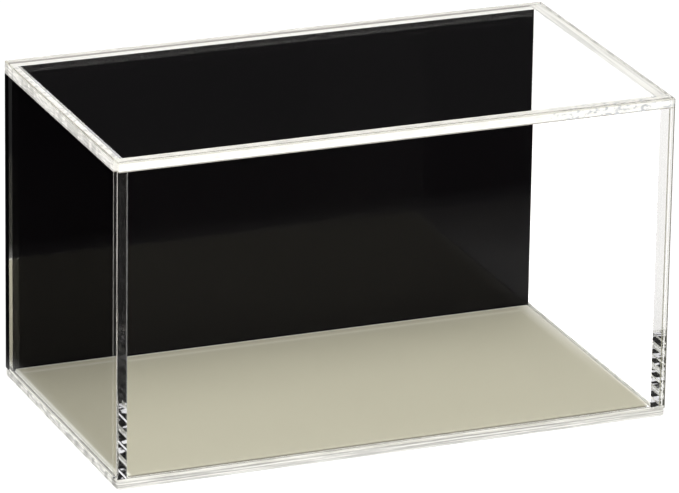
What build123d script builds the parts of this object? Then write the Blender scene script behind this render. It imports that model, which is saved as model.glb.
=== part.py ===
"""Clear acrylic display case: a lift-off cover with a black back, on a clear base with a grey floor.

Millimetres, +Z up, the front faces -Y, and the origin is under the middle of the base.
"""

import os

from build123d import *

# Driving dimensions of the case
case_width = 254.0
case_depth = 144.0
case_height = 146.0

# Sheet thicknesses
wall_sheet = 5.6
back_sheet = 5.6
base_sheet = 3.2
floor_sheet = 1.5

# Edges: the polished outer arrises, the corners of the base and the eased rim of the floor
arris_radius = 0.6
base_corner_radius = 2.0
base_arris_radius = 0.6
floor_chamfer = 0.3

# Room between the floor and the walls, so that the cover drops over the floor without binding
floor_clearance = 1.0

# Heights and planes that follow from the sizes above
cover_bottom = base_sheet
cover_height = case_height - base_sheet
wall_height = cover_height - wall_sheet
ceiling = cover_bottom + wall_height
front_face = -case_depth / 2
front_inner = front_face + wall_sheet
back_face = case_depth / 2
back_inner = back_face - back_sheet
side_face = case_width / 2
side_inner = side_face - wall_sheet
inner_depth = back_inner - front_inner
top_depth = back_face - front_inner

os.makedirs("parts", exist_ok=True)

# The cover is polished after its sheets are bonded, so one rounded envelope shapes every outer arris
with BuildPart(Plane.XY.offset(cover_bottom)) as envelope:
    Box(case_width, case_depth, cover_height, align=(Align.CENTER, Align.CENTER, Align.MIN))
    fillet(envelope.edges(), radius=arris_radius)

# Front panel: the whole face of the case, lapping the front edges of the sides and the top
with BuildPart() as front_panel:
    with BuildSketch(Plane.XZ.offset(-front_inner)):
        with Locations((0, cover_bottom)):
            Rectangle(case_width, cover_height, align=(Align.CENTER, Align.MIN))
    extrude(amount=wall_sheet)
    add(envelope.part, mode=Mode.INTERSECT)

# Top panel: lies on the sides and the back, behind the front panel
with BuildPart() as top_panel:
    with BuildSketch(Plane.XY.offset(ceiling)):
        with Locations((0, front_inner)):
            Rectangle(case_width, top_depth, align=(Align.CENTER, Align.MIN))
    extrude(amount=wall_sheet)
    add(envelope.part, mode=Mode.INTERSECT)

# Left panel: between the front and the back, under the top
with BuildPart() as left_panel:
    with BuildSketch(Plane.YZ.offset(-side_face)):
        with Locations((front_inner, cover_bottom)):
            Rectangle(inner_depth, wall_height, align=(Align.MIN, Align.MIN))
    extrude(amount=wall_sheet)
    add(envelope.part, mode=Mode.INTERSECT)

# Right panel: runs past the end of the back panel to the back of the case, under the top
with BuildPart() as right_panel:
    with BuildSketch(Plane.YZ.offset(side_inner)):
        with Locations((front_inner, cover_bottom)):
            Rectangle(top_depth, wall_height, align=(Align.MIN, Align.MIN))
    extrude(amount=wall_sheet)
    add(envelope.part, mode=Mode.INTERSECT)

# Back panel: black, behind the left panel and up against the right panel, under the top
with BuildPart() as back_panel:
    with BuildSketch(Plane.XZ.offset(-back_face)):
        with Locations((-side_face, cover_bottom)):
            Rectangle(side_face + side_inner, wall_height, align=(Align.MIN, Align.MIN))
    extrude(amount=back_sheet)
    add(envelope.part, mode=Mode.INTERSECT)

# Base plate: the clear sheet under everything, as large as the cover
with BuildPart() as base_plate:
    with BuildSketch():
        RectangleRounded(case_width, case_depth, base_corner_radius)
    extrude(amount=base_sheet)
    fillet(base_plate.faces().sort_by(Axis.Z)[-1].edges(), radius=base_arris_radius)
    fillet(base_plate.faces().sort_by(Axis.Z)[0].edges(), radius=base_arris_radius)

# Floor panel: the grey sheet bonded to the base, which keeps the cover in its place
with BuildPart() as floor_panel:
    with BuildSketch(Plane.XY.offset(base_sheet)):
        with Locations((0, front_inner + floor_clearance)):
            Rectangle(
                2 * (side_inner - floor_clearance),
                inner_depth - 2 * floor_clearance,
                align=(Align.CENTER, Align.MIN),
            )
    extrude(amount=floor_sheet)
    chamfer(floor_panel.faces().sort_by(Axis.Z)[-1].edges(), length=floor_chamfer)

pieces = {
    "front_panel": front_panel,
    "top_panel": top_panel,
    "left_panel": left_panel,
    "right_panel": right_panel,
    "back_panel": back_panel,
    "base_plate": base_plate,
    "floor_panel": floor_panel,
}
for name, piece in pieces.items():
    piece.part.label = name
    export_step(piece.part, f"parts/{name}.step")
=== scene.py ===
"""Clear acrylic display case with a black back and a satin grey floor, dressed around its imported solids.

Metres, +Z up, the clear front faces -Y. Every sheet of the case is cut out of an eased envelope by one
Geometry Nodes rule, and each of its faces is then dressed for what it is: a cast face, a polished or sawn
edge, an eased arris, or a seam or weld to another sheet.
"""

import logging
import math
from abc import ABC, abstractmethod
from dataclasses import dataclass, field
from enum import Enum
from typing import ClassVar

import bmesh
import bpy
from mathutils import Matrix, Vector

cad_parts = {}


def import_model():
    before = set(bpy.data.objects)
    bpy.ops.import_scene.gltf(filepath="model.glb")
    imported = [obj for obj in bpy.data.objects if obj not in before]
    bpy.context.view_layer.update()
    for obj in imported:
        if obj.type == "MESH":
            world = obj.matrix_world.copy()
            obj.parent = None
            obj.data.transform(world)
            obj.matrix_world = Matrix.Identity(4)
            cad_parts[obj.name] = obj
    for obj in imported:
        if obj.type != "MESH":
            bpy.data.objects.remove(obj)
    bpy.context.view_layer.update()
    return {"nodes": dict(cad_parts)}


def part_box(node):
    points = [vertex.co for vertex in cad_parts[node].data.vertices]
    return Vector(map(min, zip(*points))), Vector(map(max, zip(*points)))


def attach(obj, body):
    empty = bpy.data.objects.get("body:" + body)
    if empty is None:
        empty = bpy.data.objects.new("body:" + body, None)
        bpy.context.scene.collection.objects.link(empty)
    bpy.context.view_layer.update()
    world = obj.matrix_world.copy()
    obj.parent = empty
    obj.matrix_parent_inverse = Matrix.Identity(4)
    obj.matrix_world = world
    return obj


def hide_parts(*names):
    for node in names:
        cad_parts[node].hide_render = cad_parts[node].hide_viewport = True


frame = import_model()
NODE_BOXES = {node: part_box(node) for node in frame["nodes"]}

# Planes of the case, from its front, its floor and its right side, which the left one mirrors
FRONT = NODE_BOXES["front_panel"][0].y
INNER, FRONT_INNER, BASE_TOP = NODE_BOXES["right_panel"][0]
OUTER, BACK, CEILING = NODE_BOXES["right_panel"][1]
FLOOR_LOW, FLOOR_HIGH = NODE_BOXES["floor_panel"]

LOG = logging.getLogger("display_case")
MM = 0.001
IMAGE_WIDTH = 679

Colour = tuple[float, float, float]
Rates = tuple[float, float, float]
Band = tuple[float, float]
Bands = tuple[Band, ...]
Material = bpy.types.Material
Node = bpy.types.Node
NodeTree = bpy.types.NodeTree
Socket = bpy.types.NodeSocket
Outputs = bpy.types.NodeOutputs
Inputs = dict[str | int, object]


def rgba(colour: Colour) -> tuple[float, float, float, float]:
    """An opaque colour for a shader socket."""
    return (*colour, 1.0)


def after(plane: float, width: float) -> Band:
    """A band that starts at a plane of the case."""
    return (plane, plane + width)


def before(plane: float, width: float) -> Band:
    """A band that ends at a plane of the case."""
    return (plane - width, plane)


def about(plane: float, reach: float) -> Band:
    """A band on both sides of a plane of the case."""
    return (plane - reach, plane + reach)


def empty_tree(owner: Material | bpy.types.World) -> NodeTree:
    """Clear the nodes of a new material or world.

    Args:
        owner: the material or world.

    Returns:
        Its empty tree.
    """
    owner.use_nodes = True
    owner.node_tree.nodes.clear()
    return owner.node_tree


class Axis(Enum):
    """An axis of the case."""

    X = "X"
    Y = "Y"
    Z = "Z"


class Surface(Enum):
    """What a face of a sheet is, which decides its finish."""

    FACE = "cast face"
    EDGE = "polished cut edge"
    ARRIS = "eased arris"
    UPRIGHT = "eased upright arris"
    RIM = "sawn edge of the base or the top"
    FOOT = "sawn foot of a side"
    SEAM = "seam on the left side"
    BACK_SEAM = "seam on the black sheet"
    RIGHT_SEAM = "seam on the right side"
    FRONT_SEAM = "seam behind the front"
    WELD = "weld of the left side to the front"
    RIGHT_WELD = "weld of the right side to the front"
    BOND = "clear partner of a bonded face"


@dataclass
class NodeBench:
    """Adds nodes to one tree and joins them up."""

    tree: NodeTree

    def add(self, kind: str, inputs: Inputs | None = None, **settings: object) -> Node:
        """Add a node, set its properties and feed its inputs.

        Args:
            kind: the node's type name.
            inputs: an output to link or a plain value to set, by the input's name or place.
            settings: properties of the node, by name.

        Returns:
            The new node.
        """
        node = self.tree.nodes.new(kind)
        for name, value in settings.items():
            setattr(node, name, value)
        for key, value in (inputs or {}).items():
            if isinstance(value, Socket):
                self.tree.links.new(value, node.inputs[key])
            else:
                node.inputs[key].default_value = value
        return node

    def vector(self, operation: str, *values: object) -> Socket:
        """Vector Math on up to three vectors, or on numbers that stand for all parts of one."""
        filled = [(value,) * 3 if isinstance(value, float) else value for value in values]
        return self.add("ShaderNodeVectorMath", dict(enumerate(filled)), operation=operation).outputs[0]

    def math(self, operation: str, *values: object) -> Socket:
        """Math on up to three numbers."""
        return self.add("ShaderNodeMath", dict(enumerate(values)), operation=operation).outputs[0]

    def split(self, vector: Socket) -> Outputs:
        """The X, Y and Z of a vector."""
        return self.add("ShaderNodeSeparateXYZ", {0: vector}).outputs

    def join(self, *parts: object) -> Socket:
        """A vector made from three numbers."""
        return self.add("ShaderNodeCombineXYZ", dict(enumerate(parts))).outputs[0]

    def place(self) -> Socket:
        """Where a point of the piece lies, in metres from the origin of the case."""
        return self.add("ShaderNodeTexCoord").outputs["Object"]

    def mix(self, share: object, first: object, second: object) -> Socket:
        """A number between two, by share."""
        return self.add("ShaderNodeMix", {0: share, 2: first, 3: second}, data_type="FLOAT").outputs[0]

    def mix_colour(self, share: object, first: object, second: object) -> Socket:
        """A colour between two, by share."""
        return self.add("ShaderNodeMix", {0: share, 6: first, 7: second}, data_type="RGBA").outputs[2]

    def mix_shader(self, share: object, first: Socket, second: Socket) -> Socket:
        """A shader between two, by share."""
        return self.add("ShaderNodeMixShader", {0: share, 1: first, 2: second}).outputs[0]

    def ramp(self, value: object, start: float, end: float, low: float = 0.0, high: float = 1.0) -> Socket:
        """A number that goes from low to high while a value goes from start to end, and stays there."""
        inputs = {"Value": value, "From Min": start, "From Max": end, "To Min": low, "To Max": high}
        return self.add("ShaderNodeMapRange", inputs).outputs[0]

    def noise(self, place: object, scale: object, detail: float, distortion: float = 0.0) -> Socket:
        """A soft noise between 0 and 1."""
        inputs = {"Vector": place, "Scale": scale, "Detail": detail, "Distortion": distortion}
        return self.add("ShaderNodeTexNoise", inputs).outputs[0]

    def bump(self, height: Socket, depth: float, strength: float = 1.0) -> Socket:
        """A normal from a height, where a height of 1 stands for a depth in metres."""
        inputs = {"Height": height, "Distance": depth, "Strength": strength}
        return self.add("ShaderNodeBump", inputs).outputs["Normal"]

    def shader(self, kind: str, inputs: Inputs | None = None) -> Socket:
        """A plain shader, by the last word of its node's name."""
        return self.add(f"ShaderNodeBsdf{kind}", inputs).outputs[0]

    def banded(self, axis: Axis, bands: Bands) -> object:
        """A mask of straight bands across an axis of the case.

        Args:
            axis: the axis.
            bands: where each band starts and ends along the axis.

        Returns:
            1 in the bands, and 0 elsewhere.
        """
        mask: object = 0.0
        along = self.split(self.place())[axis.value] if bands else mask
        for start, end in bands:
            band = self.math("COMPARE", along, (start + end) / 2, (end - start) / 2)
            mask = self.math("MAXIMUM", mask, band)
        return mask


class SheetRule:
    """Geometry Nodes rule that cuts a sheet out of an envelope with eased arrises and rounded corners.

    Each axis of a sheet has four runs of grid lines, for an arris and a lap at both of its ends. A lap takes
    up less than half of a sheet.
    """

    NAME = "eased_sheet"
    RUNS = 4.0
    ENDS = 2.0
    MOST_LAP = 0.45

    def __init__(self) -> None:
        """Build the tree once."""
        self.tree = bpy.data.node_groups.new(self.NAME, "GeometryNodeTree")
        self._declare_sockets()
        self._wire()

    def _declare_sockets(self) -> None:
        """Name the sizes that a sheet gives to the rule."""
        sockets = {
            "Low": "NodeSocketVector",
            "High": "NodeSocketVector",
            "Envelope Low": "NodeSocketVector",
            "Envelope High": "NodeSocketVector",
            "Corner Radius": "NodeSocketFloat",
            "Arris Radius": "NodeSocketFloat",
            "Lap": "NodeSocketFloat",
            "Steps": "NodeSocketInt",
            "Material": "NodeSocketMaterial",
        }
        for name, kind in sockets.items():
            self.tree.interface.new_socket(name, in_out="INPUT", socket_type=kind)
        self.tree.interface.new_socket("Geometry", in_out="OUTPUT", socket_type="NodeSocketGeometry")

    def _wire(self) -> None:
        """Lay out the grid of the sheet, ease it, and give it its material."""
        bench = NodeBench(self.tree)
        given = bench.add("NodeGroupInput").outputs
        count = bench.math("MULTIPLY_ADD", given["Steps"], self.RUNS, self.ENDS)
        sheet = bench.add("GeometryNodeMeshCube", {f"Vertices {axis.value}": count for axis in Axis})
        for position in (self._lines(bench, given), self._eased(bench, given)):
            moved = {"Geometry": sheet.outputs[0], "Position": position}
            sheet = bench.add("GeometryNodeSetPosition", moved)
        realized = bench.add("GeometryNodeRealizeInstances", {0: sheet.outputs[0]})
        finish = {"Geometry": realized.outputs[0], "Material": given["Material"]}
        dressed = bench.add("GeometryNodeSetMaterial", finish)
        bench.add("NodeGroupOutput", {"Geometry": dressed.outputs[0]})

    def _lines(self, bench: NodeBench, given: Outputs) -> Socket:
        """Where the grid lines of the sharp sheet lie.

        Args:
            bench: the tree's bench.
            given: the sizes that the sheet gives.

        Returns:
            The place of each point: close lines within the arris and the lap of every edge.
        """
        steps, arris = given["Steps"], given["Arris Radius"]
        last = bench.math("MULTIPLY_ADD", steps, self.RUNS, self.ENDS - 1.0)
        # Half a line is added, so that the floor rounds to the nearest line
        middle = bench.math("MULTIPLY_ADD", last, 0.5, 0.5)
        position = bench.add("GeometryNodeInputPosition").outputs[0]
        line = bench.vector("FLOOR", bench.vector("MULTIPLY_ADD", position, last, middle))
        inward = bench.vector("MINIMUM", line, bench.vector("SUBTRACT", last, line))
        past = bench.vector("DIVIDE", bench.vector("SUBTRACT", inward, steps), steps)
        arris_share = bench.vector("MAXIMUM", bench.vector("MULTIPLY", past, -1.0), 0.0)
        lap_share = bench.vector("MAXIMUM", past, 0.0)
        span = bench.vector("SUBTRACT", given["High"], given["Low"])
        lap = bench.vector("MINIMUM", bench.vector("MULTIPLY", span, self.MOST_LAP), given["Lap"])
        turn = bench.vector("TANGENT", bench.vector("MULTIPLY", arris_share, math.pi / 4))
        rounded = bench.vector("SUBTRACT", arris, bench.vector("MULTIPLY", turn, arris))
        to_lap = bench.vector("MULTIPLY", lap_share, bench.vector("SUBTRACT", lap, arris))
        inset = bench.vector("ADD", rounded, to_lap)
        half = bench.math("MULTIPLY", steps, self.RUNS / 2)
        far_side = bench.vector("MAXIMUM", bench.vector("SUBTRACT", line, half), 0.0)
        far_side = bench.vector("MINIMUM", far_side, 1.0)
        across = bench.vector("SUBTRACT", span, bench.vector("MULTIPLY", inset, 2.0))
        near = bench.vector("ADD", given["Low"], inset)
        return bench.vector("ADD", near, bench.vector("MULTIPLY", far_side, across))

    @staticmethod
    def _eased(bench: NodeBench, given: Outputs) -> Socket:
        """Where each point goes once the envelope's corners and arrises are rounded.

        Args:
            bench: the tree's bench.
            given: the sizes that the sheet gives.

        Returns:
            The place of each point on the eased sheet.
        """
        arris, corner = given["Arris Radius"], given["Corner Radius"]
        low, high = given["Envelope Low"], given["Envelope High"]
        position = bench.add("GeometryNodeInputPosition").outputs[0]
        above_low = bench.vector("SUBTRACT", position, low)
        below_high = bench.vector("SUBTRACT", high, position)
        depth = bench.split(bench.vector("MINIMUM", above_low, below_high))
        rim = bench.math("MINIMUM", depth["X"], depth["Y"])
        side_part = bench.math("MAXIMUM", bench.math("SUBTRACT", arris, rim), 0.0)
        level_part = bench.math("MAXIMUM", bench.math("SUBTRACT", arris, depth["Z"]), 0.0)
        squares = [bench.math("POWER", part, 2.0) for part in (side_part, level_part)]
        diagonal = bench.math("SQRT", bench.math("ADD", *squares))
        reach = bench.math("MAXIMUM", side_part, level_part)
        drawn_in = bench.math("SUBTRACT", 1.0, bench.math("DIVIDE", reach, diagonal))
        new_rim = bench.math("MULTIPLY_ADD", side_part, drawn_in, rim)
        rounding = bench.join(corner, corner, 0.0)
        core = bench.vector("MINIMUM", position, bench.vector("SUBTRACT", high, rounding))
        core = bench.vector("MAXIMUM", core, bench.vector("ADD", low, rounding))
        outward = bench.vector("NORMALIZE", bench.vector("SUBTRACT", position, core))
        radius = bench.math("SUBTRACT", corner, new_rim)
        plan = bench.vector("ADD", core, bench.vector("MULTIPLY", outward, radius))
        nearer_low = bench.split(bench.vector("SUBTRACT", below_high, above_low))["Z"]
        rise = bench.math("MULTIPLY", level_part, drawn_in)
        lift = bench.math("MULTIPLY", bench.math("SIGN", nearer_low), rise)
        return bench.vector("ADD", plan, bench.join(0.0, 0.0, lift))

    def mesh(self, name: str, sizes: dict[str, object]) -> bpy.types.Mesh:
        """Run the rule for one sheet.

        Args:
            name: the mesh's name.
            sizes: the rule's inputs, by name.

        Returns:
            A plain mesh.
        """
        holder = bpy.data.objects.new(f"{name}_rule", bpy.data.meshes.new(f"{name}_seed"))
        bpy.context.scene.collection.objects.link(holder)
        modifier = holder.modifiers.new("rule", "NODES")
        modifier.node_group = self.tree
        for item in self.tree.interface.items_tree:
            if item.in_out == "INPUT":
                modifier[item.identifier] = sizes[item.name]
        graph = bpy.context.evaluated_depsgraph_get()
        mesh = bpy.data.meshes.new_from_object(holder.evaluated_get(graph))
        mesh.name = name
        seed = holder.data
        bpy.data.objects.remove(holder)
        bpy.data.meshes.remove(seed)
        return mesh


@dataclass
class Envelope:
    """What a sheet is cut out of: a box, the radii that ease it and the lines along its edges."""

    low: Vector
    high: Vector
    corner_radius: float
    arris_radius: float
    lap: float
    arris_steps: int = 4

    def sizes(self) -> dict[str, object]:
        """The envelope's sizes, by the names of the rule's inputs."""
        return {
            "Envelope Low": self.low,
            "Envelope High": self.high,
            "Corner Radius": self.corner_radius,
            "Arris Radius": self.arris_radius,
            "Lap": self.lap,
            "Steps": self.arris_steps,
        }


class Effects:
    """Shader node groups that the finishes draw on."""

    PATCH_GAIN = 3.0
    WIPE_RATES: Rates = (9.0, 9.0, 40.0)
    WIPE_DISTORTION = 0.6
    SAW_MARKS: Inputs = {"Distortion": 3.0, "Detail": 2.0, "Detail Scale": 1.5}

    def __init__(self) -> None:
        """Build the groups once."""
        self.hand_marks = self._hand_marks()
        self.ripple = self._ripple()
        self.fine_grain = self._fine_grain()
        self.streaks = self._streaks()

    @staticmethod
    def _group(name: str, inputs: dict[str, float], outputs: list[str]) -> tuple[NodeBench, Outputs]:
        """Start a shader node group.

        Args:
            name: the group's name.
            inputs: its number inputs and their defaults.
            outputs: its number outputs.

        Returns:
            A bench for the group's tree, and what the group is given.
        """
        tree = bpy.data.node_groups.new(name, "ShaderNodeTree")
        for label, value in inputs.items():
            socket = tree.interface.new_socket(label, in_out="INPUT", socket_type="NodeSocketFloat")
            socket.default_value = value
        for label in outputs:
            tree.interface.new_socket(label, in_out="OUTPUT", socket_type="NodeSocketFloat")
        bench = NodeBench(tree)
        return bench, bench.add("NodeGroupInput").outputs

    def _hand_marks(self) -> NodeTree:
        """Faint smudges of handling, in soft patches with wiped streaks inside them.

        Returns:
            The group, which puts out a mask.
        """
        bench, given = self._group("hand_marks", {"Scale": 12.0, "Cover": 0.5}, ["Mask"])
        place = bench.place()
        patches = bench.noise(place, given["Scale"], detail=2.0)
        wiped = bench.vector("MULTIPLY", place, self.WIPE_RATES)
        streaks = bench.noise(wiped, given["Scale"], detail=4.0, distortion=self.WIPE_DISTORTION)
        shown = bench.math("SUBTRACT", patches, given["Cover"])
        shown = bench.math("MAXIMUM", bench.math("MULTIPLY", shown, self.PATCH_GAIN), 0.0)
        bench.add("NodeGroupOutput", {"Mask": bench.math("MULTIPLY", shown, streaks)})
        return bench.tree

    def _ripple(self) -> NodeTree:
        """Slanting saw marks over a slow waviness, as sawing and polishing leave them on a cut edge.

        Returns:
            The group, which puts out a height.
        """
        bench, given = self._group("saw_ripple", {"Scale": 420.0, "Waviness": 0.6}, ["Height"])
        place = bench.place()
        wave = {"Vector": place, "Scale": given["Scale"]} | self.SAW_MARKS
        marks = bench.add("ShaderNodeTexWave", wave, bands_direction="DIAGONAL")
        slow = bench.noise(place, given["Scale"], detail=1.0)
        height = bench.math("MULTIPLY_ADD", slow, given["Waviness"], marks.outputs["Fac"])
        bench.add("NodeGroupOutput", {"Height": height})
        return bench.tree

    def _fine_grain(self) -> NodeTree:
        """Fine satin grain with a slow drift of tone.

        Returns:
            The group, which puts out the grain and the drift.
        """
        scales = {"Scale": 2600.0, "Drift Scale": 14.0}
        bench, given = self._group("fine_grain", scales, ["Grain", "Drift"])
        grain, drift = (bench.noise(bench.place(), given[name], detail=3.0) for name in scales)
        bench.add("NodeGroupOutput", {"Grain": grain, "Drift": drift})
        return bench.tree

    def _streaks(self) -> NodeTree:
        """Streaks of a saw, with how often they change along each axis.

        Returns:
            The group, which puts out the level of a streak.
        """
        rates = {f"Along {axis.value}": 30.0 for axis in Axis}
        bench, given = self._group("saw_streaks", rates, ["Streak"])
        stretched = bench.vector("MULTIPLY", bench.place(), bench.join(*(given[name] for name in rates)))
        bench.add("NodeGroupOutput", {"Streak": bench.noise(stretched, 1.0, detail=2.0)})
        return bench.tree


@dataclass
class FinishBench(NodeBench):
    """A bench for a material's tree, with the shared effects at hand."""

    effects: Effects

    def effect(self, tree: NodeTree, inputs: Inputs) -> Outputs:
        """Place a shared effect, with its own values in this material."""
        return self.add("ShaderNodeGroup", inputs, node_tree=tree).outputs

    def marks(self, scale: float, cover: float) -> Socket:
        """A mask of hand marks."""
        return self.effect(self.effects.hand_marks, {"Scale": scale, "Cover": cover})["Mask"]

    def grain(self, scale: float, drift_scale: float) -> Outputs:
        """A fine grain and its slow drift."""
        return self.effect(self.effects.fine_grain, {"Scale": scale, "Drift Scale": drift_scale})

    def streaks(self, rates: Rates, reach: Band) -> Socket:
        """A mask of saw streaks, specks or patches.

        Args:
            rates: how often they change along each axis, per metre.
            reach: the noise levels at which one starts and is full.

        Returns:
            0 between them and 1 on them.
        """
        axes = {f"Along {axis.value}": rate for axis, rate in zip(Axis, rates)}
        return self.ramp(self.effect(self.effects.streaks, axes)["Streak"], *reach)


@dataclass(frozen=True)
class Finish(ABC):
    """A finish that can make its own material."""

    name: str

    def make(self, effects: Effects) -> Material:
        """Make the material.

        Args:
            effects: the shared effects.

        Returns:
            The material.
        """
        material = bpy.data.materials.new(self.name)
        bench = FinishBench(empty_tree(material), effects)
        bench.add("ShaderNodeOutputMaterial", {"Surface": self.shader(bench)})
        return material

    @abstractmethod
    def shader(self, bench: FinishBench) -> Socket:
        """Build the finish's shader on a material's bench."""


@dataclass(frozen=True)
class ClearAcrylic(Finish):
    """Clear cast acrylic: bends what is seen through it and lets the lamps in."""

    tint: Colour = (0.993, 0.989, 0.986)
    light_tint: Colour = (0.975, 0.98, 0.975)
    index: float = 1.49
    smudge_scale: float = 14.0
    smudge_cover: float = 0.52
    smudge_roughness: float = 0.03
    # Bands of painted shade across X, and their dark tint
    painted_shade_bands: Bands = ()
    painted_shade_tint: Colour = (0.1, 0.095, 0.075)
    frost_roughness: float = 0.8

    def shader(self, bench: FinishBench) -> Socket:
        """Let the lamps' light through the dressed sheet, so that the inside of the case is lit.

        Args:
            bench: the material's bench.

        Returns:
            The shader.
        """
        clear = bench.shader("Transparent", {"Color": rgba(self.light_tint)})
        path = bench.add("ShaderNodeLightPath").outputs
        lets_light = bench.math("MAXIMUM", path["Is Shadow Ray"], path["Is Diffuse Ray"])
        return bench.mix_shader(lets_light, self.dressed(bench), clear)

    def dressed(self, bench: FinishBench) -> Socket:
        """The clear sheet, with what lies on it: nothing on a plain one."""
        return self.glass(bench)

    def glass(self, bench: FinishBench) -> Socket:
        """The clear sheet by itself, with faint smudges and any bands of painted shade.

        Args:
            bench: the material's bench.

        Returns:
            The clear shader.
        """
        tint: object = rgba(self.tint)
        if self.painted_shade_bands:
            bands = bench.banded(Axis.X, self.painted_shade_bands)
            tint = bench.mix_colour(bands, tint, rgba(self.painted_shade_tint))
        marks = bench.marks(self.smudge_scale, self.smudge_cover)
        sheet = {
            "Base Color": tint,
            "Roughness": bench.math("MULTIPLY", marks, self.smudge_roughness),
            "IOR": self.index,
            "Transmission Weight": 1.0,
        }
        return bench.shader("Principled", sheet)

    def frosted(self, bench: FinishBench, share: object, tone: object) -> Socket:
        """Lay something pale that scatters light over the clear sheet.

        Args:
            bench: the material's bench.
            share: how much of it shows.
            tone: its colour.

        Returns:
            The mixed shader.
        """
        frost = bench.shader("Principled", {"Base Color": tone, "Roughness": self.frost_roughness})
        return bench.mix_shader(share, self.glass(bench), frost)


@dataclass(frozen=True)
class ScuffedAcrylic(ClearAcrylic):
    """Clear acrylic with patchy scuffs along its foot, left by setting the cover down."""

    foot: float = 0.0
    faces: Bands = ()
    white: Colour = (0.97, 0.95, 0.89)
    height: float = 1.8 * MM
    full_share: float = 0.7
    least: float = 0.8
    most: float = 1.0
    rates: Rates = (110.0, 110.0, 300.0)
    reach: Band = (0.4, 0.6)

    def dressed(self, bench: FinishBench) -> Socket:
        """The clear sheet with its scuffs.

        Args:
            bench: the material's bench.

        Returns:
            The mixed shader.
        """
        level = bench.split(bench.place())["Z"]
        fade = bench.ramp(level, self.foot + self.height, self.foot + self.height * self.full_share)
        share = bench.math("MULTIPLY", fade, bench.banded(Axis.X, self.faces))
        patches = bench.streaks(self.rates, self.reach)
        share = bench.math("MULTIPLY", share, bench.mix(patches, self.least, self.most))
        return self.frosted(bench, share, rgba(self.white))


@dataclass(frozen=True)
class GapShadedAcrylic(ClearAcrylic):
    """Clear acrylic with painted shade, laid on as a dark frost, along the gap between the floor and the
    walls.
    """

    gaps_x: Bands = ()
    gaps_y: Bands = ()
    # The colour and share of the painted shade in the gap
    dust_and_shade_colour: Colour = (0.24, 0.23, 0.19)
    gap_shade_share: float = 0.92

    def dressed(self, bench: FinishBench) -> Socket:
        """The clear sheet with the painted shade in its gap.

        Args:
            bench: the material's bench.

        Returns:
            The mixed shader.
        """
        gap = bench.math("MAXIMUM", bench.banded(Axis.X, self.gaps_x), bench.banded(Axis.Y, self.gaps_y))
        share = bench.math("MULTIPLY", gap, self.gap_shade_share)
        return self.frosted(bench, share, rgba(self.dust_and_shade_colour))


@dataclass(frozen=True)
class SawnEdge(ClearAcrylic):
    """A cut edge left as sawn: clear acrylic with white streaks, and white bands along its rims."""

    white: Colour = (0.9, 0.88, 0.83)
    front: Bands = ()
    # A dimmer white on the front: painted shade
    shaded_front_white: Colour = (0.84, 0.825, 0.78)
    rates: Rates = (40.0, 150.0, 1300.0)
    reach: Band = (0.4, 0.6)
    least: float = 0.0
    most: float = 1.0
    bands: Bands = ()
    zones: Bands = ()
    lines: Bands = ()
    front_lines: Bands = ()
    line_share: float = 0.5
    line_colour: Colour = (0.2, 0.19, 0.17)
    patched: Bands = ()
    patch_share: float = 0.7
    patch_rates: Rates = (60.0, 190.0, 60.0)
    patch_reach: Band = (0.48, 0.54)
    patch_colour: Colour = (0.5, 0.49, 0.46)

    def dressed(self, bench: FinishBench) -> Socket:
        """The clear edge with its streaks and bands.

        Args:
            bench: the material's bench.

        Returns:
            The mixed shader.
        """
        marks = bench.streaks(self.rates, self.reach)
        if self.zones:
            marks = bench.math("MULTIPLY", marks, bench.banded(Axis.X, self.zones))
        streaked = bench.mix(marks, self.least, self.most)
        cover = bench.math("MAXIMUM", streaked, bench.banded(Axis.X, self.bands))
        return self.frosted(bench, cover, self._tone(bench))

    def _tone(self, bench: FinishBench) -> Socket:
        """The colour of the streaks, with greyer patches, painted shade on the front and the painted shadow
        lines of the joints.

        Args:
            bench: the material's bench.

        Returns:
            A colour, dimmer on the front, where the shade is painted.
        """
        front = bench.banded(Axis.Y, self.front)
        tone = bench.mix_colour(front, rgba(self.white), rgba(self.shaded_front_white))
        patches = bench.streaks(self.patch_rates, self.patch_reach)
        patches = bench.math("MULTIPLY", patches, bench.banded(Axis.X, self.patched))
        greyer = bench.math("MULTIPLY", patches, self.patch_share)
        tone = bench.mix_colour(greyer, tone, rgba(self.patch_colour))
        on_front = bench.math("MULTIPLY", bench.banded(Axis.Z, self.front_lines), front)
        shadow = bench.math("MAXIMUM", bench.banded(Axis.Z, self.lines), on_front)
        shadow = bench.math("MULTIPLY", shadow, self.line_share)
        return bench.mix_colour(shadow, tone, rgba(self.line_colour))


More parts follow.
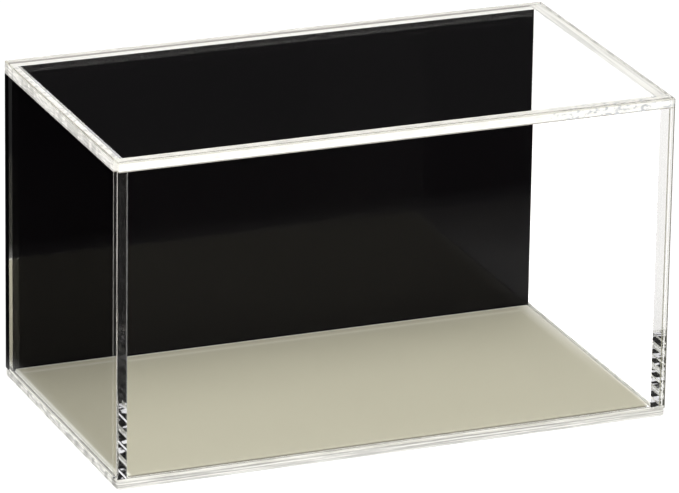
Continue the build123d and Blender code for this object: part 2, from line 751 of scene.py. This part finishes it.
@dataclass(frozen=True)
class Cement(Finish):
    """A bonded face: milky, with clear specks where the solvent ran well, and lines along its rims."""

    colour: Colour = (0.97, 0.955, 0.91)
    roughness: float = 0.8
    translucency: float = 0.45
    milk: float = 0.0
    speck: float = 0.0
    speck_rates: Rates = (330.0, 330.0, 330.0)
    speck_reach: Band = (0.52, 0.64)
    line_axis: Axis = Axis.X
    lines: Bands = ()
    line_milk: float = 0.5
    line_colour: Colour = (0.97, 0.965, 0.94)
    clear_bands: Bands = ()
    beads: Bands = ()
    bead_milk: float = 0.85
    bubbled: Bands = ()
    bubble_rates: Rates = (330.0, 330.0, 620.0)
    bubble_reach: Band = (0.52, 0.62)
    bubble_colour: Colour = (0.56, 0.57, 0.59)

    def shader(self, bench: FinishBench) -> Socket:
        """Scatter light from and through the milky part, and leave the rest clear.

        Args:
            bench: the material's bench.

        Returns:
            The shader.
        """
        lines = bench.banded(self.line_axis, self.lines)
        share, tone = self._share(bench, lines), self._tone(bench, lines)
        bond = bench.shader("Principled", {"Base Color": tone, "Roughness": self.roughness, "Alpha": share})
        lit_through = bench.shader("Translucent", {"Color": tone})
        back_lit = bench.mix_shader(share, bench.shader("Transparent"), lit_through)
        return bench.mix_shader(self.translucency, bond, back_lit)

    def _share(self, bench: FinishBench, lines: object) -> Socket:
        """How milky the bond is.

        Args:
            bench: the material's bench.
            lines: the mask of its lines.

        Returns:
            0 where it is clear and 1 where it is white.
        """
        specks = bench.streaks(self.speck_rates, self.speck_reach)
        share = bench.mix(lines, bench.mix(specks, self.milk, self.speck), self.line_milk)
        share = bench.mix(bench.banded(Axis.X, self.clear_bands), share, 0.0)
        return bench.mix(bench.banded(Axis.X, self.beads), share, self.bead_milk)

    def _tone(self, bench: FinishBench, lines: object) -> Socket:
        """The colour of the milky part, with its lines and bubbles.

        Args:
            bench: the material's bench.
            lines: the mask of its lines.

        Returns:
            A colour.
        """
        tone = bench.mix_colour(lines, rgba(self.colour), rgba(self.line_colour))
        bubbles = bench.streaks(self.bubble_rates, self.bubble_reach)
        bubbles = bench.math("MULTIPLY", bubbles, bench.banded(Axis.X, self.bubbled))
        return bench.mix_colour(bubbles, tone, rgba(self.bubble_colour))


@dataclass(frozen=True)
class BlackAcrylic(Finish):
    """Opaque black acrylic, polished, with the faint marks of handling that gloss shows up."""

    colour: Colour = (0.0011, 0.0006, 0.0011)
    dust_and_shade_colour: Colour = (0.004, 0.0037, 0.0035)
    dust_scale: float = 900.0
    dust_drift: float = 10.0
    index: float = 1.49
    gloss: float = 0.22
    roughness: float = 0.05
    smudge_scale: float = 9.0
    smudge_cover: float = 0.47
    smudge_roughness: float = 0.16
    ripple_depth: float = 0.0
    ripple_scale: float = 260.0

    def shader(self, bench: FinishBench) -> Socket:
        """Black gloss with smudges, dust in them, and any ripple of a cut edge.

        Args:
            bench: the material's bench.

        Returns:
            The shader.
        """
        marks = bench.marks(self.smudge_scale, self.smudge_cover)
        dust_and_shade = bench.math("MULTIPLY", marks, bench.grain(self.dust_scale, self.dust_drift)["Grain"])
        sheet = {
            "Base Color": bench.mix_colour(dust_and_shade, rgba(self.colour), rgba(self.dust_and_shade_colour)),
            "Roughness": bench.math("MULTIPLY_ADD", marks, self.smudge_roughness, self.roughness),
            "IOR": self.index,
            "Specular IOR Level": self.gloss,
        }
        if self.ripple_depth:
            height = bench.effect(bench.effects.ripple, {"Scale": self.ripple_scale})["Height"]
            sheet["Normal"] = bench.bump(height, self.ripple_depth)
        return bench.shader("Principled", sheet)


@dataclass(frozen=True)
class SatinGrey(Finish):
    """Warm grey satin sheet with a fine even grain, and painted light that makes it paler towards its rims.
    """

    middle: Vector
    half_span: Vector
    colour: Colour = (0.527, 0.499, 0.386)
    shade: Colour = (0.47, 0.445, 0.342)
    # The pale colour and the rim, line and strip that carry it are painted light
    painted_light: Colour = (0.86, 0.84, 0.76)
    rim_width: float = 1.6 * MM
    line_inset: float = 5.6 * MM
    line_width: float = 4.0 * MM
    line_share: float = 0.3
    strip_width: float = 7.0 * MM
    strip_length: float = 110.0 * MM
    strip_share: float = 0.9
    # Painted shade along the foot of the front edge: its height, share and colour
    foot_shade_height: float = 0.8 * MM
    foot_shade_share: float = 0.75
    foot_shade_colour: Colour = (0.16, 0.145, 0.11)
    roughness: float = 0.5
    grain_scale: float = 2600.0
    grain_share: float = 0.4
    grain_roughness: float = 0.12
    grain_depth: float = 0.04 * MM
    grain_relief: float = 0.5
    drift_scale: float = 14.0
    drift_share: float = 0.6

    def shader(self, bench: FinishBench) -> Socket:
        """Grey satin with its grain, the painted light of its pale border and the painted shade at its foot.

        Args:
            bench: the material's bench.

        Returns:
            The shader.
        """
        outputs = bench.grain(self.grain_scale, self.drift_scale)
        grain = outputs["Grain"]
        fine = bench.math("MULTIPLY", grain, self.grain_share)
        share = bench.math("MULTIPLY_ADD", outputs["Drift"], self.drift_share, fine)
        tone = bench.mix_colour(share, rgba(self.colour), rgba(self.shade))
        tone = bench.mix_colour(self._painted_border_light(bench), tone, rgba(self.painted_light))
        sheet = {
            "Base Color": bench.mix_colour(self._painted_foot_shade(bench), tone, rgba(self.foot_shade_colour)),
            "Roughness": bench.math("MULTIPLY_ADD", grain, self.grain_roughness, self.roughness),
            "Normal": bench.bump(grain, self.grain_depth, self.grain_relief),
        }
        return bench.shader("Principled", sheet)

    def _painted_foot_shade(self, bench: FinishBench) -> Socket:
        """Painted shade along the foot of the front edge.

        Args:
            bench: the material's bench.

        Returns:
            A mask.
        """
        foot, front = self.middle.z - self.half_span.z, self.middle.y - self.half_span.y
        low = bench.banded(Axis.Z, (after(foot, self.foot_shade_height),))
        near = bench.banded(Axis.Y, (about(front, self.foot_shade_height),))
        return bench.math("MULTIPLY", bench.math("MULTIPLY", low, near), self.foot_shade_share)

    def _painted_border_light(self, bench: FinishBench) -> Socket:
        """Painted light: the bright rim round three sides, the soft pale line along the back and the pale
        strip on the right.

        Args:
            bench: the material's bench.

        Returns:
            A mask.
        """
        place = bench.split(bench.vector("SUBTRACT", bench.place(), tuple(self.middle)))
        to_side = bench.math("SUBTRACT", self.half_span.x, bench.math("ABSOLUTE", place["X"]))
        to_right = bench.math("SUBTRACT", self.half_span.x, place["X"])
        to_back = bench.math("SUBTRACT", self.half_span.y, place["Y"])
        off_line = bench.math("ABSOLUTE", bench.math("SUBTRACT", to_back, self.line_inset))
        rim = bench.ramp(bench.math("MINIMUM", to_side, to_back), self.rim_width, 0.0)
        line = bench.ramp(off_line, self.line_width / 2, 0.0, high=self.line_share)
        strip = bench.ramp(to_right, self.strip_width, 0.0, high=self.strip_share)
        strip = bench.math("MULTIPLY", strip, bench.ramp(to_back, self.strip_length, 0.0))
        return bench.math("MAXIMUM", rim, bench.math("MAXIMUM", line, strip))


@dataclass
class Sheet:
    """One flat sheet of the case, which stands for the CAD node of the same name."""

    # The parts of a normal that tell flats and slopes apart, and how far off a face its partner is felt for
    FLAT: ClassVar[float] = 0.999
    TRULY_FLAT: ClassVar[float] = 0.9999
    SLOPE: ClassVar[float] = 0.1
    PROBE: ClassVar[float] = 0.2 * MM

    node: str
    body: str
    slot: str
    low: Vector
    high: Vector
    finishes: dict[Surface, Material]
    contacts: dict[str, Surface] = field(default_factory=dict)
    foot: float | None = None
    foot_kind: Surface = Surface.FOOT
    edge: Surface = Surface.EDGE
    arris: Surface = Surface.ARRIS

    @property
    def thin_axis(self) -> int:
        """The axis across the sheet."""
        span = self.high - self.low
        return min(range(3), key=lambda axis: span[axis])

    def surface(self, centre: Vector, normal: Vector) -> Surface:
        """What a face of this sheet is.

        Args:
            centre: the middle of the face.
            normal: the face's normal.

        Returns:
            Its kind of surface.
        """
        probe = centre + normal * self.PROBE
        for node, kind in self.contacts.items():
            low, high = NODE_BOXES[node]
            if all(low[axis] <= probe[axis] <= high[axis] for axis in range(3)):
                return kind
        if max(abs(part) for part in normal) < self.FLAT:
            return self._arris_kind(normal)
        if abs(normal[self.thin_axis]) > self.FLAT:
            return Surface.FACE
        on_foot = self.foot is not None and normal.z < -self.FLAT and centre.z < self.foot
        return self.foot_kind if on_foot else self.edge

    def _arris_kind(self, normal: Vector) -> Surface:
        """What an eased arris is, by the way it faces.

        Args:
            normal: the normal of a face of the arris.

        Returns:
            A sawn rim along a foot, and the sheet's own kind elsewhere.
        """
        if self.foot is not None and normal.z < -self.SLOPE:
            return Surface.RIM
        upright = self.arris is Surface.ARRIS and abs(normal.z) < self.SLOPE
        return Surface.UPRIGHT if upright else self.arris

    def build(self, rule: SheetRule, envelope: Envelope) -> None:
        """Cut the sheet, dress its faces and put it in the CAD node's place.

        Args:
            rule: the rule that cuts it.
            envelope: what it is cut out of.
        """
        own = {"Low": self.low, "High": self.high, "Material": self.finishes[Surface.FACE]}
        mesh = rule.mesh(self.node, envelope.sizes() | own)
        self._dress(mesh)
        piece = bpy.data.objects.new(f"{self.node}_sheet", mesh)
        bpy.context.scene.collection.objects.link(piece)
        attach(piece, self.body)
        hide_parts(self.node)
        LOG.info("%s: %d faces on body %s", piece.name, len(mesh.polygons), self.body)

    def _dress(self, mesh: bpy.types.Mesh) -> None:
        """Give each face its finish, and shade the arrises smooth between sharp flats.

        Args:
            mesh: the sheet's mesh.
        """
        mesh.materials.clear()
        kinds = list(self.finishes)
        for kind in kinds:
            mesh.materials.append(self.finishes[kind])
        work = bmesh.new()
        work.from_mesh(mesh)
        bmesh.ops.recalc_face_normals(work, faces=work.faces)
        for face in work.faces:
            kind = self.surface(face.calc_center_median(), face.normal)
            face.material_index = kinds.index(kind)
            face.smooth = max(abs(part) for part in face.normal) < self.TRULY_FLAT
        for edge in work.edges:
            edge.smooth = all(face.smooth for face in edge.link_faces)
        work.to_mesh(mesh)
        work.free()


@dataclass
class Cover:
    """The lift-off cover: four clear sheets welded together, and the black back."""

    rule: SheetRule
    clear: dict[Surface, Material]
    black: dict[Surface, Material]
    arris_radius: float = 0.6 * MM
    air_gap: float = 0.05 * MM
    cement_film: float = 0.02 * MM
    clear_nodes: tuple[str, ...] = ("front_panel", "top_panel", "left_panel", "right_panel")
    side_nodes: tuple[str, ...] = ("left_panel", "right_panel")
    black_node: str = "back_panel"
    top_seams: dict[str, Surface] = field(
        default_factory=lambda: {
            "front_panel": Surface.FRONT_SEAM,
            "left_panel": Surface.SEAM,
            "right_panel": Surface.RIGHT_SEAM,
            "back_panel": Surface.BACK_SEAM,
        }
    )

    def build(self) -> None:
        """Cut every sheet of the cover out of one eased envelope."""
        low, high = self._box()
        envelope = Envelope(low, high, self.arris_radius, self.arris_radius, lap=OUTER - INNER)
        for node in self.clear_nodes:
            self._clear_sheet(node).build(self.rule, envelope)
        self._black_sheet().build(self.rule, envelope)

    def _box(self) -> tuple[Vector, Vector]:
        """The cover's whole box, which stands just clear of the base.

        Returns:
            Its lowest and its highest corner.
        """
        boxes = [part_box(node) for node in (*self.clear_nodes, self.black_node)]
        low = Vector(min(box[0][axis] for box in boxes) for axis in range(3))
        high = Vector(max(box[1][axis] for box in boxes) for axis in range(3))
        low.z += self.air_gap
        return low, high

    def _clear_sheet(self, node: str) -> Sheet:
        """A clear sheet, bonded to the other clear sheets and to the back.

        Args:
            node: the CAD node that it stands for.

        Returns:
            The sheet, a film of cement short of the sheets that it is bonded to.
        """
        low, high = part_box(node)
        bottom = self._box()[0].z
        low.z = max(low.z, bottom)
        bonded = [other for other in self.clear_nodes if other != node]
        if node == "top_panel":
            bonded.append(self.black_node)
            low.z += self.cement_film
        if node != "front_panel":
            low.y += self.cement_film
        contacts = {other: self._joint(node, other) for other in bonded}
        foot = bottom + self.arris_radius
        foot_kind = Surface.FOOT if node in self.side_nodes else Surface.RIM
        edge = Surface.RIM if node == "top_panel" else Surface.EDGE
        return Sheet(node, "cover", "clear_acrylic", low, high, self.clear, contacts, foot, foot_kind, edge)

    def _joint(self, node: str, other: str) -> Surface:
        """How a sheet of the cover meets another.

        Args:
            node: the sheet.
            other: the sheet that it meets.

        Returns:
            The milky side of the bond on the top and the front, and its clear side elsewhere.
        """
        if node == "top_panel":
            return self.top_seams[other]
        if node == "front_panel" and other in self.side_nodes:
            return Surface.WELD if other == "left_panel" else Surface.RIGHT_WELD
        return Surface.BOND

    def _black_sheet(self) -> Sheet:
        """The black sheet, a hair inside its seat so that light still turns in the clear edges.

        Returns:
            The sheet.
        """
        low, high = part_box(self.black_node)
        low.z = max(low.z, self._box()[0].z)
        low.y += self.air_gap
        high.x -= self.air_gap
        high.z -= self.air_gap
        return Sheet(self.black_node, "cover", "black_acrylic", low, high, self.black, arris=Surface.EDGE)


@dataclass
class Base:
    """The clear base plate and the grey floor that it carries."""

    rule: SheetRule
    clear: dict[Surface, Material]
    grey: dict[Surface, Material]
    corner_radius: float = 2.0 * MM
    arris_radius: float = 0.6 * MM
    floor_easing: float = 0.3 * MM
    film: float = 0.02 * MM

    def build(self) -> None:
        """Cut both sheets of the base."""
        low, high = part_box("base_plate")
        rim = Surface.RIM
        plate = Sheet("base_plate", "base", "clear_acrylic", low, high, self.clear, edge=rim, arris=rim)
        plate.build(self.rule, Envelope(low, high, self.corner_radius, self.arris_radius, self.corner_radius))
        low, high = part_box("floor_panel")
        low.z += self.film
        floor = Sheet("floor_panel", "base", "grey_satin", low, high, self.grey, arris=Surface.EDGE)
        floor.build(self.rule, Envelope(low, high, self.floor_easing, self.floor_easing, self.corner_radius))


@dataclass
class CaseFinishes:
    """Every finish of the case, placed by the planes of its sheets."""

    effects: Effects
    face_reach: float = 0.1 * MM
    front_reach: float = 6.0 * MM
    weld_line: float = 0.5 * MM
    left_line: float = 0.8 * MM
    right_line: float = 0.6 * MM
    clear_margin: float = 1.0 * MM
    top_shadow: float = 0.9 * MM
    # Painted shadow lines across the front rim of the base
    rim_shadow_lines: Bands = ((0.9 * MM, 1.1 * MM), (1.8 * MM, 2.0 * MM))
    base_shadow: float = 0.4 * MM
    end_patch: float = 1.0 * MM
    clear_seam: float = 1.3 * MM
    back_line: float = 1.6 * MM
    front_line: float = 0.5 * MM
    bubbles_from: float = 70.0 * MM
    left_bead: float = 0.4 * MM
    right_bead: float = 0.35 * MM
    right_shade: Band = (1.4 * MM, 0.8 * MM)

    @property
    def left_rim(self) -> Band:
        """The line along the inner rim of the left side."""
        return before(-INNER, self.weld_line)

    def _made(self, finishes: dict[Surface, Finish]) -> dict[Surface, Material]:
        """Make a material of each finish."""
        return {kind: finish.make(self.effects) for kind, finish in finishes.items()}

    def sawn_rim(self) -> Material:
        """The sawn rim that the cover and the base share.

        Returns:
            Its material.
        """
        rim = SawnEdge(
            "sawn_rim",
            least=0.55,
            most=0.95,
            # Painted shade: a dark line under the top, dark lines on the base's front rim and a dimmer front
            lines=(after(CEILING, self.top_shadow),),
            front_lines=(*self.rim_shadow_lines, before(BASE_TOP, self.base_shadow)),
            front=(after(FRONT, self.front_reach),),
            patched=(after(-OUTER, self.end_patch), before(OUTER, self.end_patch)),
        )
        return rim.make(self.effects)

    def cover(self, rim: Material) -> dict[Surface, Material]:
        """The finishes of the cover's clear sheets.

        Args:
            rim: the sawn rim.

        Returns:
            A material for each kind of surface.
        """
        scuffed_faces = (about(-OUTER, self.face_reach), about(INNER, self.face_reach))
        # Painted shade on the uprights of the right side
        painted_shade_bands = ((INNER, OUTER),)
        clear = {
            Surface.FACE: ScuffedAcrylic("clear_acrylic_scuffed", foot=BASE_TOP, faces=scuffed_faces),
            Surface.EDGE: ClearAcrylic("clear_acrylic_edge", tint=(0.995, 0.975, 0.94)),
            # The arris and upright tints, far darker than clear acrylic, are painted shade on the eased
            # arrises
            Surface.ARRIS: ClearAcrylic("clear_acrylic_arris", tint=(0.55, 0.53, 0.47)),
            Surface.UPRIGHT: ClearAcrylic(
                "clear_acrylic_upright", tint=(0.85, 0.83, 0.77), painted_shade_bands=painted_shade_bands
            ),
        }
        bonded = {Surface.FOOT: self._sawn_foot()} | self._seams() | self._welds()
        return self._made(clear) | {Surface.RIM: rim} | self._made(bonded)

    def _sawn_foot(self) -> SawnEdge:
        """The sawn feet of the two sides, with white lines along their rims.

        Returns:
            Their finish.
        """
        left_lines = (self.left_rim, after(-OUTER, self.left_line))
        right_lines = (after(INNER, self.weld_line), before(OUTER, self.right_line))
        return SawnEdge(
            "sawn_foot",
            white=(0.72, 0.71, 0.74),
            rates=(90.0, 150.0, 1.0),
            reach=(0.53, 0.58),
            bands=left_lines + right_lines,
            zones=((-OUTER, -INNER - self.clear_margin), (INNER + self.clear_margin, OUTER)),
        )

    def _seams(self) -> dict[Surface, Finish]:
        """The milky seams under the top and behind the front.

        Returns:
            A finish for each seam.
        """
        left = Cement(
            "left_seam",
            milk=0.95,
            speck=0.45,
            translucency=0.15,
            clear_bands=(before(-INNER, self.clear_seam),),
        )
        back = Cement(
            "back_seam",
            milk=1.0,
            speck=0.9,
            speck_rates=(12.0, 400.0, 1.0),
            translucency=0.05,
            line_axis=Axis.Y,
            lines=(before(BACK, self.back_line),),
            line_milk=0.9,
            line_colour=(0.45, 0.43, 0.41),
        )
        right = Cement(
            "right_seam",
            milk=0.85,
            speck=0.6,
            speck_rates=(500.0, 14.0, 1.0),
            speck_reach=(0.42, 0.6),
            translucency=0.2,
        )
        front = Cement(
            "front_seam",
            milk=0.97,
            speck=0.78,
            speck_rates=(90.0, 90.0, 500.0),
            translucency=0.15,
            line_axis=Axis.Z,
            lines=(after(CEILING, self.front_line),),
            line_milk=0.9,
            line_colour=(0.4, 0.38, 0.33),
            bubbled=((self.bubbles_from, OUTER),),
        )
        return {
            Surface.SEAM: left,
            Surface.BACK_SEAM: back,
            Surface.RIGHT_SEAM: right,
            Surface.FRONT_SEAM: front,
        }

    def _welds(self) -> dict[Surface, Finish]:
        """The clear welds of the sides to the front, with their beads, and the clear side of a bond.

        Returns:
            A finish for each of them.
        """
        left = Cement(
            "front_weld",
            milk=0.014,
            speck=0.025,
            lines=(self.left_rim,),
            line_milk=0.17,
            beads=(after(-OUTER, self.left_bead),),
            bead_milk=0.62,
        )
        shade_start, shade_end = (OUTER - inset for inset in self.right_shade)
        right = Cement(
            "right_weld",
            milk=0.01,
            speck=0.02,
            lines=((shade_start, shade_end),),
            line_milk=0.8,
            line_colour=(0.3, 0.29, 0.22),
            beads=(before(OUTER, self.right_bead),),
        )
        return {Surface.WELD: left, Surface.RIGHT_WELD: right, Surface.BOND: Cement("clear_bond")}

    def black(self) -> dict[Surface, Material]:
        """The finishes of the black sheet, by kind of surface."""
        edge = BlackAcrylic("black_acrylic_edge", roughness=0.2, ripple_depth=0.02 * MM)
        return self._made({Surface.FACE: BlackAcrylic("black_acrylic_face"), Surface.EDGE: edge})

    def plate(self, rim: Material) -> dict[Surface, Material]:
        """The finishes of the base plate.

        Args:
            rim: the sawn rim.

        Returns:
            A material for each kind of surface.
        """
        # Painted shade in the gap between the floor and the walls
        dust_and_shade = GapShadedAcrylic(
            "clear_acrylic_gap_shaded",
            gaps_x=((-INNER, FLOOR_LOW.x),),
            gaps_y=((FRONT_INNER, FLOOR_LOW.y),),
        )
        return {Surface.FACE: dust_and_shade.make(self.effects), Surface.RIM: rim}

    def floor(self) -> dict[Surface, Material]:
        """The finish of the floor, which is the same all over.

        Returns:
            A material for each kind of surface.
        """
        middle, half_span = (FLOOR_LOW + FLOOR_HIGH) / 2, (FLOOR_HIGH - FLOOR_LOW) / 2
        grey = SatinGrey("grey_satin_floor", middle, half_span).make(self.effects)
        return {Surface.FACE: grey, Surface.EDGE: grey}


@dataclass(frozen=True)
class SoftLamp:
    """A soft box: where it is, how large, and how strong."""

    name: str
    place: tuple[float, float, float]
    size: tuple[float, float]
    watts: float
    mirrored: bool = True

    def hang(self, target: Vector) -> None:
        """Hang the lamp.

        Args:
            target: the point that it is turned to.
        """
        light = bpy.data.lights.new(self.name, "AREA")
        light.shape = "RECTANGLE"
        light.size, light.size_y = self.size
        light.energy = self.watts
        lamp = bpy.data.objects.new(self.name, light)
        lamp.location = self.place
        lamp.rotation_euler = (target - Vector(self.place)).to_track_quat("-Z", "Y").to_euler()
        lamp.visible_glossy = self.mirrored
        lamp.visible_transmission = self.mirrored
        bpy.context.scene.collection.objects.link(lamp)


@dataclass
class Studio:
    """The white table, the soft light and the camera at the photograph's angle."""

    lamps: tuple[SoftLamp, ...] = (
        SoftLamp("overhead_softbox", (-0.1, 0.1, 1.6), (1.6, 1.2), 19.5),
        SoftLamp("front_fill", (-0.4, -1.8, 1.0), (1.6, 1.0), 26.0, mirrored=False),
        SoftLamp("left_fill", (-1.8, 0.1, 0.5), (1.2, 0.8), 6.0, mirrored=False),
    )
    azimuth: float = -22.255
    elevation: float = 20.01
    roll: float = 0.906
    distance: float = 2.7124
    aside: float = 1.741 * MM
    above: float = -5.032 * MM
    focal_pixels: float = 6239.8
    sight: float = 50.0
    white: Colour = (1.0, 1.0, 1.0)
    fill: float = 0.4
    through_gain: float = 2.0
    dark_room: float = 0.019
    softbox: float = 0.9
    softbox_start: float = 0.55
    softbox_full: float = 0.8
    table_mirrored: float = 0.9
    front_dim: float = 0.02
    left_dim: float = 0.002
    dark_left: float = -0.135
    left_blend: float = 0.01
    dark_front: float = -0.1
    front_blend: float = 0.1
    table_size: float = 12.0
    table_gap: float = 0.05 * MM
    table_glow: float = 0.72
    table_seen: float = 0.36
    table_bounce: float = 0.8
    bounces: int = 40
    clear_layers: int = 64

    def set_up(self) -> None:
        """Build the studio around the case."""
        cover_low, cover_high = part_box("front_panel")
        centre = Vector((0.0, 0.0, (cover_low.z + cover_high.z) / 2))
        bpy.context.scene.view_settings.view_transform = "Standard"
        self._camera(centre)
        self._world()
        self._table()
        for lamp in self.lamps:
            lamp.hang(centre)
        self._light_paths()

    def _camera(self, centre: Vector) -> None:
        """Stand the camera where the photograph was taken.

        Args:
            centre: the middle of the cover.
        """
        turn, rise, roll = (math.radians(angle) for angle in (self.azimuth, self.elevation, self.roll))
        back = Vector((math.sin(turn) * math.cos(rise), -math.cos(turn) * math.cos(rise), math.sin(rise)))
        level = Vector((math.cos(turn), math.sin(turn), 0.0))
        upright = back.cross(level)
        right = level * math.cos(roll) + upright * math.sin(roll)
        up = upright * math.cos(roll) - level * math.sin(roll)
        eye = centre + back * self.distance + right * self.aside + up * self.above
        data = bpy.data.cameras.new("photo_camera")
        data.sensor_fit = "HORIZONTAL"
        data.lens = data.sensor_width * self.focal_pixels / IMAGE_WIDTH
        data.clip_end = self.sight
        camera = bpy.data.objects.new("photo_camera", data)
        camera.matrix_world = Matrix.Translation(eye) @ Matrix((right, up, back)).transposed().to_4x4()
        bpy.context.scene.collection.objects.link(camera)
        bpy.context.scene.camera = camera

    def _world(self) -> None:
        """White where it is seen, plain fill on the case, and a dim room in its gloss."""
        world = bpy.data.worlds.new("white_room")
        bench = NodeBench(empty_tree(world))
        path = bench.add("ShaderNodeLightPath").outputs
        way = bench.split(bench.add("ShaderNodeTexCoord").outputs["Generated"])
        room = bench.ramp(way["Z"], self.softbox_start, self.softbox_full, self.dark_room, self.softbox)
        strength = bench.mix(self._seen(bench, path), self.fill, self._shown(bench, path, room))
        background = bench.add("ShaderNodeBackground", {"Color": rgba(self.white), "Strength": strength})
        bench.add("ShaderNodeOutputWorld", {"Surface": background.outputs[0]})
        bpy.context.scene.world = world

    @staticmethod
    def _seen(bench: NodeBench, path: Outputs) -> Socket:
        """1 for a ray that shows the studio: straight, through clear sheet or in gloss."""
        through = bench.math("MAXIMUM", path["Is Transmission Ray"], path["Is Glossy Ray"])
        return bench.math("MAXIMUM", path["Is Camera Ray"], through)

    def _shown(self, bench: NodeBench, path: Outputs, room: object) -> Socket:
        """White straight on or through clear sheet, and the room where a ray was mirrored on its way.

        Args:
            bench: the tree's bench.
            path: the Light Path outputs.
            room: the room's brightness.

        Returns:
            A brightness.
        """
        turned = bench.math("MINIMUM", path["Glossy Depth"], 1.0)
        straight = bench.mix(path["Is Transmission Ray"], 1.0, self.through_gain)
        return bench.mix(turned, straight, room)

    def _table(self) -> None:
        """The white table, which keeps the case's shadow."""
        half = self.table_size / 2
        mesh = bpy.data.meshes.new("table")
        level = -self.table_gap
        corners = [(-half, -half, level), (half, -half, level), (half, half, level), (-half, half, level)]
        mesh.from_pydata(corners, [], [(0, 1, 2, 3)])
        table = bpy.data.objects.new("table", mesh)
        bpy.context.scene.collection.objects.link(table)
        mesh.materials.append(self._table_material())

    def _table_material(self) -> Material:
        """White to the eye and through clear sheet, dim in gloss, and a plain bounce for the case.

        Returns:
            The material.
        """
        material = bpy.data.materials.new("white_table")
        bench = NodeBench(empty_tree(material))
        path = bench.add("ShaderNodeLightPath").outputs
        shown = self._shown(bench, path, self._table_room(bench))
        seen = self._seen(bench, path)
        tone = bench.mix(seen, self.table_bounce, bench.math("MULTIPLY", shown, self.table_seen))
        glowing = bench.math("MULTIPLY", seen, bench.math("MULTIPLY", shown, self.table_glow))
        glow = bench.add("ShaderNodeEmission", {"Strength": glowing})
        total = {0: bench.shader("Diffuse", {"Color": tone}), 1: glow.outputs[0]}
        surface = bench.add("ShaderNodeAddShader", total).outputs[0]
        bench.add("ShaderNodeOutputMaterial", {"Surface": surface})
        return material

    def _table_room(self, bench: NodeBench) -> Socket:
        """How bright the table is when mirrored: white behind the case, dim in front, dark on its left.

        Args:
            bench: the table's bench.

        Returns:
            A brightness.
        """
        place = bench.split(bench.place())
        on_right = bench.ramp(place["X"], self.dark_left, self.dark_left + self.left_blend)
        behind = bench.ramp(place["Y"], self.dark_front, self.dark_front + self.front_blend)
        depth = bench.mix(behind, self.front_dim, self.table_mirrored)
        return bench.mix(on_right, self.left_dim, depth)

    def _light_paths(self) -> None:
        """Let light turn often enough inside the thick clear edges."""
        cycles = bpy.context.scene.cycles
        cycles.max_bounces = self.bounces
        cycles.glossy_bounces = self.bounces
        cycles.transmission_bounces = self.bounces
        cycles.transparent_max_bounces = self.clear_layers


def main() -> None:
    """Build the case and its studio."""
    logging.basicConfig(level=logging.INFO)
    rule = SheetRule()
    finishes = CaseFinishes(Effects())
    rim = finishes.sawn_rim()
    Cover(rule, finishes.cover(rim), finishes.black()).build()
    Base(rule, finishes.plate(rim), finishes.floor()).build()
    Studio().set_up()


if __name__ == "__main__":
    main()
